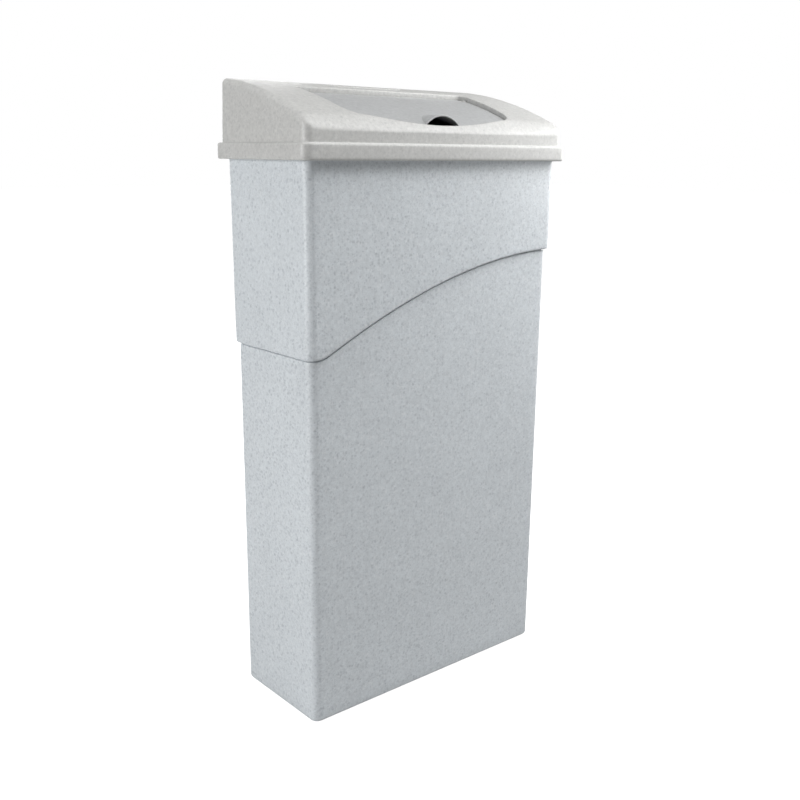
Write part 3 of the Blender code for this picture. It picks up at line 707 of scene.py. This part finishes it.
def make_flap(surface):
    flap = loft("flap_panel", panel_rings(), capped=True)
    added = []
    notches = []
    bores = []
    for side in SIDES.values():
        added.append(bar("barrel", along_hinge(side * BARREL_INNER_X), along_hinge(side * BARREL_OUTER_X), BARREL_RADIUS, 0.0005, 40))
        near, far = sorted((side * (BARREL_OUTER_X + 0.0001), side * 0.17))
        notches.append(rounded_box("notch", (near, NOTCH_Y, 0.8), (far, 0.06, 0.95), 0.001))
        bore_end = along_hinge(side * (BARREL_OUTER_X + 0.01))
        bores.append(bar("bore", along_hinge(side * 0.131), bore_end, PIN_RADIUS + 0.0001, 0.0003, 32))
    tunnel_start = (0, COWL_FRONT - 0.02, COWL_CENTRE_Z)
    tunnel_end = (0, COWL_BACK - 0.003, COWL_CENTRE_Z)
    length = tunnel_end[1] - tunnel_start[1]
    flare = [((0.02 + 0.0012 * (1 - cosine)) / length, COWL_RADIUS + 0.0012 * (1 - sine)) for cosine, sine in turn(0, 90, 4)]
    flare = [(0.0, COWL_RADIUS + 0.0012)] + flare + [(1.0, COWL_RADIUS)]
    tunnel = lathe("tunnel", flare, tunnel_start, tunnel_end, 160)
    combine(flap, [merge("notches", notches)], "DIFFERENCE")
    combine(flap, [cowl(), merge("barrels", added)], "UNION")
    combine(flap, [merge("bores", bores + [tunnel])], "DIFFERENCE")
    return finish_piece(flap, surface, "flap", "flap")


# ---------------------------------------------------------------- small pieces


def make_bag_ring(surface):
    """An angle section run round the rim: a hanging wall with a flange on top, all edges softened."""
    flange = 0.0030
    wall_in = RING_HIGH.x - (BODY_HALF_X - upper_lean(RING_LOW.z) - BODY_WALL - 0.0005)
    corner = BODY_CORNER - BODY_WALL + 0.003
    soft = 0.0005
    section = [(wall_in, RING_LOW.z + soft), (wall_in, RING_HIGH.z - flange - soft), (wall_in - soft, RING_HIGH.z - flange)]
    section += [(soft, RING_HIGH.z - flange), (0.0, RING_HIGH.z - flange + soft), (0.0, RING_HIGH.z - soft)]
    section += [(soft, RING_HIGH.z), (wall_in + 0.0025 - soft * 2, RING_HIGH.z), (wall_in + 0.0025, RING_HIGH.z - soft * 2)]
    section += [(wall_in + 0.0025, RING_LOW.z + soft), (wall_in + 0.0025 - soft, RING_LOW.z), (wall_in + soft, RING_LOW.z)]
    rings = []
    for inset, z in section:
        half_x, half_y = RING_HIGH.x - inset, RING_HIGH.y - inset
        rings.append(points(*outline(half_x, -half_y, half_y, max(corner - inset, 0.004)), z))
    return finish_piece(loft("bag_ring_angle", rings), surface, "bin", "bag_ring")


def make_foot(number, surface):
    """A round pad with a rounded edge and three grooves in its sole."""
    low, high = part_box(f"foot_pad_{number}")
    middle = (low + high) / 2
    radius = (high.x - low.x) / 2
    height = high.z - low.z
    profile = [(0.0, 0.002)]
    for groove in (0.0045, 0.0078, 0.0111):
        profile += [(0.0, groove - 0.0006), (0.0007 / height, groove - 0.0003)]
        profile += [(0.0007 / height, groove + 0.0003), (0.0, groove + 0.0006)]
    profile += [(0.0006 * (1 - cosine) / height, radius - 0.0006 * (1 - sine)) for cosine, sine in turn(0, 90, 4)]
    profile += [(1 - 0.0004 / height, radius), (1.0, radius - 0.0004)]
    pad = lathe(f"foot_{number}", profile, (middle.x, middle.y, low.z), (middle.x, middle.y, high.z), 72)
    return finish_piece(pad, surface, "bin", f"foot_pad_{number}")


def make_hinge_pin(label, side, surface):
    """A pin with rounded ends and a shallow oil groove."""
    low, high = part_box("hinge_pin_" + label)
    inner, outer = sorted((low.x, high.x), key=abs)
    length = high.x - low.x
    ends = rounded_bar_profile(length, PIN_RADIUS, 0.0004)
    groove = [(0.48, PIN_RADIUS), (0.49, PIN_RADIUS - 0.0002), (0.52, PIN_RADIUS - 0.0002), (0.53, PIN_RADIUS)]
    profile = ends[: len(ends) // 2] + groove + ends[len(ends) // 2 :]
    pin = lathe("pin_" + label, profile, along_hinge(inner), along_hinge(outer), 48)
    return finish_piece(pin, surface, "lid", "hinge_pin_" + label)


def make_hinge_bush(label, side, surface):
    """A flanged bush with softened edges and a bore for the pin."""
    low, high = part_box("hinge_bush_" + label)
    inner, outer = sorted((low.x, high.x), key=abs)
    length = high.x - low.x
    head = (high.z - low.z) / 2
    bore = PIN_RADIUS + 0.0001
    flange = 0.0015
    soft = 0.0002
    profile = [(0.0, bore + soft), (0.0, head - soft), (soft, head), (flange - soft, head), (flange, head - soft)]
    profile += [(flange, BUSH_RADIUS + soft), (flange + soft, BUSH_RADIUS), (length - soft * 2, BUSH_RADIUS)]
    profile += [(length, BUSH_RADIUS - soft * 2), (length, bore + soft), (length - soft, bore), (soft, bore)]
    bush = tube("bush_" + label, profile, along_hinge(inner), along_hinge(outer), 48)
    return finish_piece(bush, surface, "lid", "hinge_bush_" + label)


def make_bumper(label, surface):
    """A domed rubber stud that stands square to the ledge."""
    low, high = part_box("flap_bumper_" + label)
    middle = (low + high) / 2
    slope = float(flap_height(middle.y + 0.001) - flap_height(middle.y - 0.001)) / 0.002
    normal = Vector((0, -slope, 1)).normalized()
    reach = normal * 0.00085
    radius = (high.x - low.x) / 2
    profile = [(0.0, radius - 0.0002), (0.1, radius), (0.45, radius)]
    profile += [(0.45 + 0.55 * sine, radius * (0.35 + 0.65 * cosine)) for cosine, sine in turn(15, 90, 5)]
    stud = lathe("bumper_" + label, profile, middle - reach, middle + reach, 40)
    return finish_piece(stud, surface, "lid", "flap_bumper_" + label)


def make_pan(surface):
    """A folded sheet pan with rounded bends, a rim on three sides, and a chute at the front."""
    rings = []

    def add(out, z, corner):
        front = PAN_FRONT - (out if out < 0 else out * 0.1)
        x, y = outline(PAN_HALF_X + out, front, PAN_BACK + out, corner)
        rings.append(points(x, y, z))

    bend = 0.003
    for cosine, sine in turn(0, 90, 6):
        add(-bend * (1 - sine), PAN_LOW.z + bend * (1 - cosine), 0.004)
    rim_under = RIM_TOP - PAN_SHEET
    for share in np.linspace(0, 1, 8)[1:]:
        add(0.0, PAN_LOW.z + bend + (rim_under - 0.001 - PAN_LOW.z - bend) * share, 0.004)
    add(0.0003, rim_under - 0.0003, 0.0043)
    add(0.001, rim_under, 0.005)
    for cosine, sine in turn(0, 180, 6):
        add(PAN_RIM - 0.0006 * (1 - sine), rim_under + 0.0006 * (1 - cosine), 0.0085)
    add(0.0, RIM_TOP, 0.004)
    inner = -PAN_SHEET
    add(inner + 0.0008, RIM_TOP - 0.0001, 0.004)
    add(inner, RIM_TOP - 0.001, 0.003)
    low = PAN_LOW.z + PAN_SHEET
    for share in np.linspace(0, 1, 8)[1:]:
        add(inner, RIM_TOP - 0.001 + (low + bend - RIM_TOP + 0.001) * share, 0.003)
    for cosine, sine in turn(90, 0, 6):
        if sine < 1:
            add(inner - bend * (1 - sine), low + bend * (1 - cosine), 0.003)
    pan = loft("ash_pan_sheet", rings, capped=True)
    root = PAN_FRONT + PAN_SHEET * 0.6
    slope = [
        (root, RIM_TOP - 0.004),
        (PAN_FRONT + 0.0002, RIM_TOP - 0.004),
        (PAN_LOW.y, PAN_HIGH.z - PAN_SHEET),
        (PAN_LOW.y, PAN_HIGH.z),
        (root, RIM_TOP + 0.0002),
    ]
    chute = prism("chute", slope, -CHUTE_HALF_X, CHUTE_HALF_X, "X", 0.0003)
    combine(pan, [chute], "UNION")
    return finish_piece(pan, surface, "ash_pan", "ash_pan")


def make_rail(label, side, surface):
    """A channel folded from sheet, with a tab across its front that takes two screws."""
    low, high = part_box("pan_rail_" + label)
    inner_x, outer_x = 0.0592, 0.0668
    slot_half = PAN_SHEET / 2 + 0.0005
    rim_z = RIM_TOP - PAN_SHEET / 2
    rail_top = high.z - 0.0025
    section = [(inner_x, low.z), (outer_x, low.z), (outer_x, rail_top), (inner_x, rail_top)]
    section += [(inner_x, rim_z + slot_half), (outer_x - RAIL_WALL, rim_z + slot_half)]
    section += [(outer_x - RAIL_WALL, rim_z - slot_half), (inner_x, rim_z - slot_half)]
    section = [(side * x, z) for x, z in section]
    channel = prism("rail_" + label, section, low.y + 0.0002, high.y, "Y", 0.00035)
    tab_low = (low.x, low.y, low.z + 0.0008)
    tab_high = (high.x, low.y + RAIL_WALL, high.z)
    combine(channel, [rounded_box("tab", tab_low, tab_high, 0.0004)], "UNION")
    holes = []
    for number in (1, 2):
        middle = screw_place(f"rail_screw_{label}_{number}")
        start = (middle.x, low.y - 0.004, middle.z)
        holes.append(bar("hole", start, (middle.x, low.y + 0.006, middle.z), SCREW_RADIUS + GAP, 0.0001, 24))
    combine(channel, [merge("holes", holes)], "DIFFERENCE")
    return finish_piece(channel, surface, "lid", "pan_rail_" + label)


def make_screw(label, number, surface):
    """A pan-head screw: domed head with a cross recess, and a shank with a fine thread."""
    node = f"rail_screw_{label}_{number}"
    low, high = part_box(node)
    middle = (low + high) / 2
    length = high.y - low.y
    head = 0.0018
    profile = []
    for cosine, sine in turn(90, 0, 6):
        profile.append((head * 0.75 * (1 - sine), 0.0008 + (SCREW_HEAD - 0.0008) * math.sqrt(1 - sine**2)))
    profile += [(head - 0.0001, SCREW_HEAD), (head, SCREW_HEAD - 0.0001), (head + 0.0001, SCREW_RADIUS)]
    pitch = 0.0006
    start = head + 0.0006
    turns = int((length - start - 0.0006) / pitch)
    for index in range(turns):
        place = start + index * pitch
        profile += [(place, SCREW_RADIUS - 0.0003), (place + pitch * 0.45, SCREW_RADIUS), (place + pitch * 0.55, SCREW_RADIUS)]
    profile += [(start + turns * pitch, SCREW_RADIUS - 0.0003), (length, 0.0007)]
    shares = [(place / length, radius) for place, radius in profile]
    screw = lathe(f"screw_{label}_{number}", shares, (middle.x, high.y, middle.z), (middle.x, low.y, middle.z), 32)
    recess = []
    for half_x, half_z in ((0.0016, 0.0003), (0.0003, 0.0016)):
        cut_low = (middle.x - half_x, high.y - 0.0009, middle.z - half_z)
        cut_high = (middle.x + half_x, high.y + 0.001, middle.z + half_z)
        recess.append(rounded_box("recess", cut_low, cut_high, 0.0001, 1))
    combine(screw, recess, "DIFFERENCE")
    return finish_piece(screw, surface, "lid", node)


# ---------------------------------------------------------------- materials


class Surface:
    """A Principled material built from procedural nodes in the object's own coordinates."""

    def __init__(self, name, metallic=0.0):
        self.material = bpy.data.materials.new(name)
        self.material.use_nodes = True
        self.tree = self.material.node_tree
        self.shader = self.tree.nodes["Principled BSDF"]
        self.shader.inputs["Metallic"].default_value = metallic
        self.place = self.node("ShaderNodeTexCoord", {}).outputs["Object"]

    def node(self, kind, inputs, **settings):
        made = self.tree.nodes.new(kind)
        for name, value in settings.items():
            setattr(made, name, value)
        for name, value in inputs.items():
            self.feed(made.inputs[name], value)
        return made

    def feed(self, socket, value):
        if isinstance(value, bpy.types.NodeSocket):
            self.tree.links.new(value, socket)
        else:
            socket.default_value = value

    def set(self, name, value):
        self.feed(self.shader.inputs[name], value)

    def noise(self, scale, detail=2.0, roughness=0.5, place=None):
        inputs = {"Vector": place or self.place, "Scale": scale, "Detail": detail, "Roughness": roughness}
        return self.node("ShaderNodeTexNoise", inputs)

    def math(self, operation, a, b=0.0):
        return self.node("ShaderNodeMath", {0: a, 1: b}, operation=operation).outputs[0]

    def spread(self, value, low, high, to_low=0.0, to_high=1.0):
        """Maps low..high to to_low..to_high, clamped."""
        names = ("Value", "From Min", "From Max", "To Min", "To Max")
        return self.node("ShaderNodeMapRange", dict(zip(names, (value, low, high, to_low, to_high)))).outputs[0]

    def mix(self, factor, a, b):
        made = self.node("ShaderNodeMix", {}, data_type="RGBA")
        self.feed(made.inputs[0], factor)
        self.feed(made.inputs[6], a)
        self.feed(made.inputs[7], b)
        return made.outputs[2]

    def scaled(self, color, factor):
        """A colour multiplied by a number."""
        made = self.node("ShaderNodeVectorMath", {0: color}, operation="SCALE")
        self.feed(made.inputs["Scale"], factor)
        return made.outputs[0]

    def warped(self, scale, amount):
        """The coordinates, shifted a little by noise, so that patterns lose their regular outlines."""
        noise = self.noise(scale, 1.0).outputs["Color"]
        offset = self.node("ShaderNodeVectorMath", {0: noise, 1: (0.5, 0.5, 0.5)}, operation="SUBTRACT").outputs[0]
        shift = self.scaled(offset, amount)
        return self.node("ShaderNodeVectorMath", {0: self.place, 1: shift}, operation="ADD").outputs[0]

    def flecks(self, scale, size, coverage, place):
        """Scattered grains: 1 inside a grain and 0 outside. size is in cells, coverage is the share of cells used."""
        cells = self.node("ShaderNodeTexVoronoi", {"Vector": place, "Scale": scale})
        chosen = self.node("ShaderNodeSeparateColor", {0: cells.outputs["Color"]})
        grain = self.spread(cells.outputs["Distance"], size * 0.55, size, 1.0, 0.0)
        used = self.spread(chosen.outputs[0], 1 - coverage - 0.03, 1 - coverage)
        strength = self.spread(chosen.outputs[1], 0.0, 1.0, 0.45, 1.0)
        return self.math("MULTIPLY", self.math("MULTIPLY", grain, used), strength)

    def wear_and_highlight_edges(self, low, high):
        """1 on outer edges and 0 on flat faces."""
        pointiness = self.node("ShaderNodeNewGeometry", {}).outputs["Pointiness"]
        return self.spread(pointiness, low, high)

    def crease_shade(self, low, high):
        """Mask for painted shade: 1 deep in grooves and inside corners, and 0 on flat faces."""
        pointiness = self.node("ShaderNodeNewGeometry", {}).outputs["Pointiness"]
        return self.spread(pointiness, low, high, 1.0, 0.0)

    def bump(self, height, strength, distance):
        made = self.node("ShaderNodeBump", {"Height": height, "Strength": strength, "Distance": distance})
        self.set("Normal", made.outputs[0])


def granite(name, base, dark, light, contrast=1.0):
    """Speckled granite-look plastic: blue-grey and pale grains in a mottled ground, a fine moulded texture."""
    surface = Surface(name)
    place = surface.warped(420, 0.0016)
    ground = surface.spread(surface.noise(9, 3).outputs["Fac"], 0.3, 0.7, 0.975, 1.025)
    cloud = surface.spread(surface.noise(190, 4, 0.65).outputs["Fac"], 0.3, 0.7, 0.91, 1.09)
    color = surface.scaled((*base,), surface.math("MULTIPLY", ground, cloud))
    big = surface.flecks(190, 0.50, 0.22, surface.warped(330, 0.0030))
    mid = surface.flecks(300, 0.55, 0.34, surface.warped(500, 0.0022))
    fine = surface.flecks(800, 0.6, 0.40, place)
    pale = surface.flecks(240, 0.60, 0.26, surface.warped(400, 0.0028))
    color = surface.mix(surface.math("MULTIPLY", big, 0.30 * contrast), color, (*dark, 1))
    color = surface.mix(surface.math("MULTIPLY", mid, 0.26 * contrast), color, (*dark, 1))
    color = surface.mix(surface.math("MULTIPLY", fine, 0.22 * contrast), color, (*dark, 1))
    color = surface.mix(surface.math("MULTIPLY", pale, 0.40 * contrast), color, (*light, 1))
    # Paler colour on outer edges: partly wear, partly a painted highlight.
    edge_wear_and_highlight = surface.math("MULTIPLY", surface.wear_and_highlight_edges(0.53, 0.60), 0.45)
    color = surface.mix(edge_wear_and_highlight, color, (*light, 1))
    # Darker colour deep in grooves and inside corners: painted shade.
    painted_shade = surface.math("MULTIPLY", surface.crease_shade(0.40, 0.475), 0.75)
    surface.set("Base Color", surface.mix(painted_shade, color, (0.10, 0.105, 0.11, 1)))
    rough = surface.spread(surface.noise(120, 3).outputs["Fac"], 0.3, 0.7, 0.33, 0.46)
    surface.set("Roughness", surface.math("SUBTRACT", rough, surface.math("MULTIPLY", edge_wear_and_highlight, 0.2)))
    surface.set("Specular IOR Level", 0.42)
    grain = surface.noise(1400, 3, 0.6).outputs["Fac"]
    relief = surface.math("ADD", grain, surface.math("MULTIPLY", surface.noise(160, 2).outputs["Fac"], 0.8))
    surface.bump(relief, 0.10, 0.0006)
    return surface.material


def galvanised_steel():
    """Zinc spangle: flat crystals of slightly different brightness, with fine scratches."""
    surface = Surface("galvanised", metallic=0.85)
    cells = surface.node("ShaderNodeTexVoronoi", {"Vector": surface.warped(150, 0.004), "Scale": 150.0})
    crystal = surface.node("ShaderNodeSeparateColor", {0: cells.outputs["Color"]}).outputs[0]
    tone = surface.spread(crystal, 0.0, 1.0, 0.82, 1.08)
    stain = surface.spread(surface.noise(35, 4).outputs["Fac"], 0.45, 0.75, 0.0, 0.35)
    color = surface.scaled((0.52, 0.54, 0.56), tone)
    surface.set("Base Color", surface.mix(stain, color, (0.40, 0.40, 0.39, 1)))
    surface.set("Roughness", surface.spread(crystal, 0.0, 1.0, 0.30, 0.48))
    surface.bump(surface.noise(800, 3).outputs["Fac"], 0.12, 0.0003)
    return surface.material


def stainless_steel():
    """Turned steel: fine rings across the pieces' length."""
    surface = Surface("stainless", metallic=1.0)
    fine = surface.noise(2500, 4, 0.7)
    tone = surface.spread(fine.outputs["Fac"], 0.3, 0.7, 0.85, 1.05)
    surface.set("Base Color", surface.scaled((0.62, 0.62, 0.61), tone))
    surface.set("Roughness", surface.spread(surface.noise(300, 3).outputs["Fac"], 0.3, 0.7, 0.22, 0.38))
    surface.bump(fine.outputs["Fac"], 0.08, 0.0001)
    return surface.material


def rubber_black():
    """Matt rubber with a dusty bloom."""
    surface = Surface("rubber")
    bloom = surface.spread(surface.noise(180, 4, 0.65).outputs["Fac"], 0.4, 0.75, 0.0, 0.6)
    surface.set("Base Color", surface.mix(bloom, (0.022, 0.022, 0.023, 1), (0.075, 0.073, 0.07, 1)))
    surface.set("Roughness", surface.spread(bloom, 0.0, 0.6, 0.72, 0.9))
    surface.bump(surface.noise(1500, 3).outputs["Fac"], 0.25, 0.0003)
    return surface.material


def moulded(name, color, roughness):
    """Plain moulded plastic: slight colour drift, fine spark-eroded texture, shinier edges."""
    surface = Surface(name)
    drift = surface.spread(surface.noise(40, 3).outputs["Fac"], 0.3, 0.7, 0.9, 1.1)
    edge_wear_and_highlight = surface.wear_and_highlight_edges(0.52, 0.6)
    surface.set("Base Color", surface.scaled((*color,), drift))
    rough = surface.spread(surface.noise(500, 3).outputs["Fac"], 0.3, 0.7, roughness - 0.06, roughness + 0.08)
    surface.set("Roughness", surface.math("SUBTRACT", rough, surface.math("MULTIPLY", edge_wear_and_highlight, 0.12)))
    surface.bump(surface.noise(1800, 2).outputs["Fac"], 0.18, 0.0003)
    return surface.material


def only_for_camera(tree):
    """1 where a surface is looked at directly, and 0 where it only lights other things."""
    return tree.nodes.new("ShaderNodeLightPath").outputs["Is Camera Ray"]


def studio_floor():
    """Near-white paper. A glow that only the camera sees keeps the shadows on it faint."""
    surface = Surface("floor_white")
    tone = surface.spread(surface.noise(3, 3).outputs["Fac"], 0.3, 0.7, 0.985, 1.0)
    surface.set("Base Color", surface.scaled((0.5, 0.5, 0.5), tone))
    surface.set("Roughness", 0.9)
    surface.set("Specular IOR Level", 0.1)
    surface.set("Emission Color", (1, 1, 1, 1))
    surface.set("Emission Strength", surface.math("MULTIPLY", only_for_camera(surface.tree), FLOOR_GLOW))
    return surface.material


# ---------------------------------------------------------------- stage


def make_camera():
    azimuth, elevation, roll = math.radians(-40.377), math.radians(13.9376), math.radians(0.5645)
    back = Vector(
        (math.sin(azimuth) * math.cos(elevation), -math.cos(azimuth) * math.cos(elevation), math.sin(elevation))
    )
    right = Vector((math.cos(azimuth), math.sin(azimuth), 0))
    up = back.cross(right)
    rolled_right = right * math.cos(roll) + up * math.sin(roll)
    rolled_up = up * math.cos(roll) - right * math.sin(roll)
    camera = bpy.data.cameras.new("camera")
    camera.lens = 44.861
    camera.sensor_width = 36
    placed = bpy.data.objects.new("camera", camera)
    bpy.context.scene.collection.objects.link(placed)
    placed.matrix_world = Matrix.Translation((-0.97203, -1.15093, 0.80829)) @ Matrix(
        (rolled_right, rolled_up, back)
    ).transposed().to_4x4()
    bpy.context.scene.camera = placed


def area_light(name, place, target, size, power, color=(1, 1, 1)):
    light = bpy.data.lights.new(name, "AREA")
    light.shape = "RECTANGLE"
    light.size, light.size_y = size
    light.energy = power
    light.color = color
    lamp = bpy.data.objects.new(name, light)
    bpy.context.scene.collection.objects.link(lamp)
    lamp.location = place
    lamp.rotation_mode = "QUATERNION"
    lamp.rotation_quaternion = (Vector(target) - Vector(place)).to_track_quat("-Z", "Y")
    return lamp


def make_stage():
    scene = bpy.context.scene
    scene.view_settings.view_transform = "Standard"
    world = bpy.data.worlds.new("studio")
    scene.world = world
    world.use_nodes = True
    tree = world.node_tree
    background = tree.nodes["Background"]
    background.inputs["Color"].default_value = (1, 1, 1, 1)
    glow = tree.nodes.new("ShaderNodeMath")
    glow.operation = "MAXIMUM"
    glow.inputs[1].default_value = WORLD_LIGHT
    tree.links.new(only_for_camera(tree), glow.inputs[0])
    tree.links.new(glow.outputs[0], background.inputs["Strength"])
    mesh = bpy.data.meshes.new("floor")
    mesh.from_pydata([(-20, -20, 0), (20, -20, 0), (20, 20, 0), (-20, 20, 0)], [], [(0, 1, 2, 3)])
    floor = new_piece("floor", mesh)
    floor.data.materials.append(studio_floor())
    for light in LIGHTS:
        area_light(*light)


WORLD_LIGHT = 0.08
FLOOR_GLOW = 1.0
LIGHTS = [
    ("left", (-2.909, 0.513, 0.971), (0, 0, 0.45), (1.6, 1.6), 59),
    ("high_front", (0, -1.026, 3.269), (0, 0, 0.45), (1.6, 1.6), 55),
    ("right_front", (1.625, -1.364, 2.571), (0, 0, 0.45), (1.6, 1.6), 39),
    ("right_near", (0.70, -0.30, 0.95), (0.1, -0.1, 0.75), (0.5, 0.5), 4.5),
    ("back", (0.8, 3, 1.2), (0, 0, 0.45), (2, 2), 30),
]


def main():
    body_granite = granite("granite", (0.635, 0.672, 0.698), (0.22, 0.25, 0.29), (0.78, 0.80, 0.82))
    lid_granite = granite("warm_granite", (0.54, 0.54, 0.527), (0.29, 0.30, 0.31), (0.66, 0.66, 0.64), 0.8)
    # A darker, flatter granite for the flap: painted shade for its place sunk in the lid's mouth.
    flap_granite_painted_shade = granite("flap_granite_painted_shade", (0.42, 0.427, 0.43), (0.24, 0.25, 0.26), (0.45, 0.46, 0.46), 0.4)
    rubber = rubber_black()
    galvanised = galvanised_steel()
    stainless = stainless_steel()
    nylon = moulded("nylon", (0.72, 0.71, 0.67), 0.42)
    dark = moulded("dark_plastic", (0.05, 0.05, 0.055), 0.5)
    make_body(body_granite)
    make_bag_ring(dark)
    for number in range(1, 5):
        make_foot(number, rubber)
    make_lid(lid_granite)
    make_flap(flap_granite_painted_shade)
    make_pan(galvanised)
    for label, side in SIDES.items():
        make_hinge_pin(label, side, stainless)
        make_hinge_bush(label, side, nylon)
        make_bumper(label, rubber)
        make_rail(label, side, galvanised)
        for number in (1, 2):
            make_screw(label, number, stainless)
    make_camera()
    make_stage()


main()
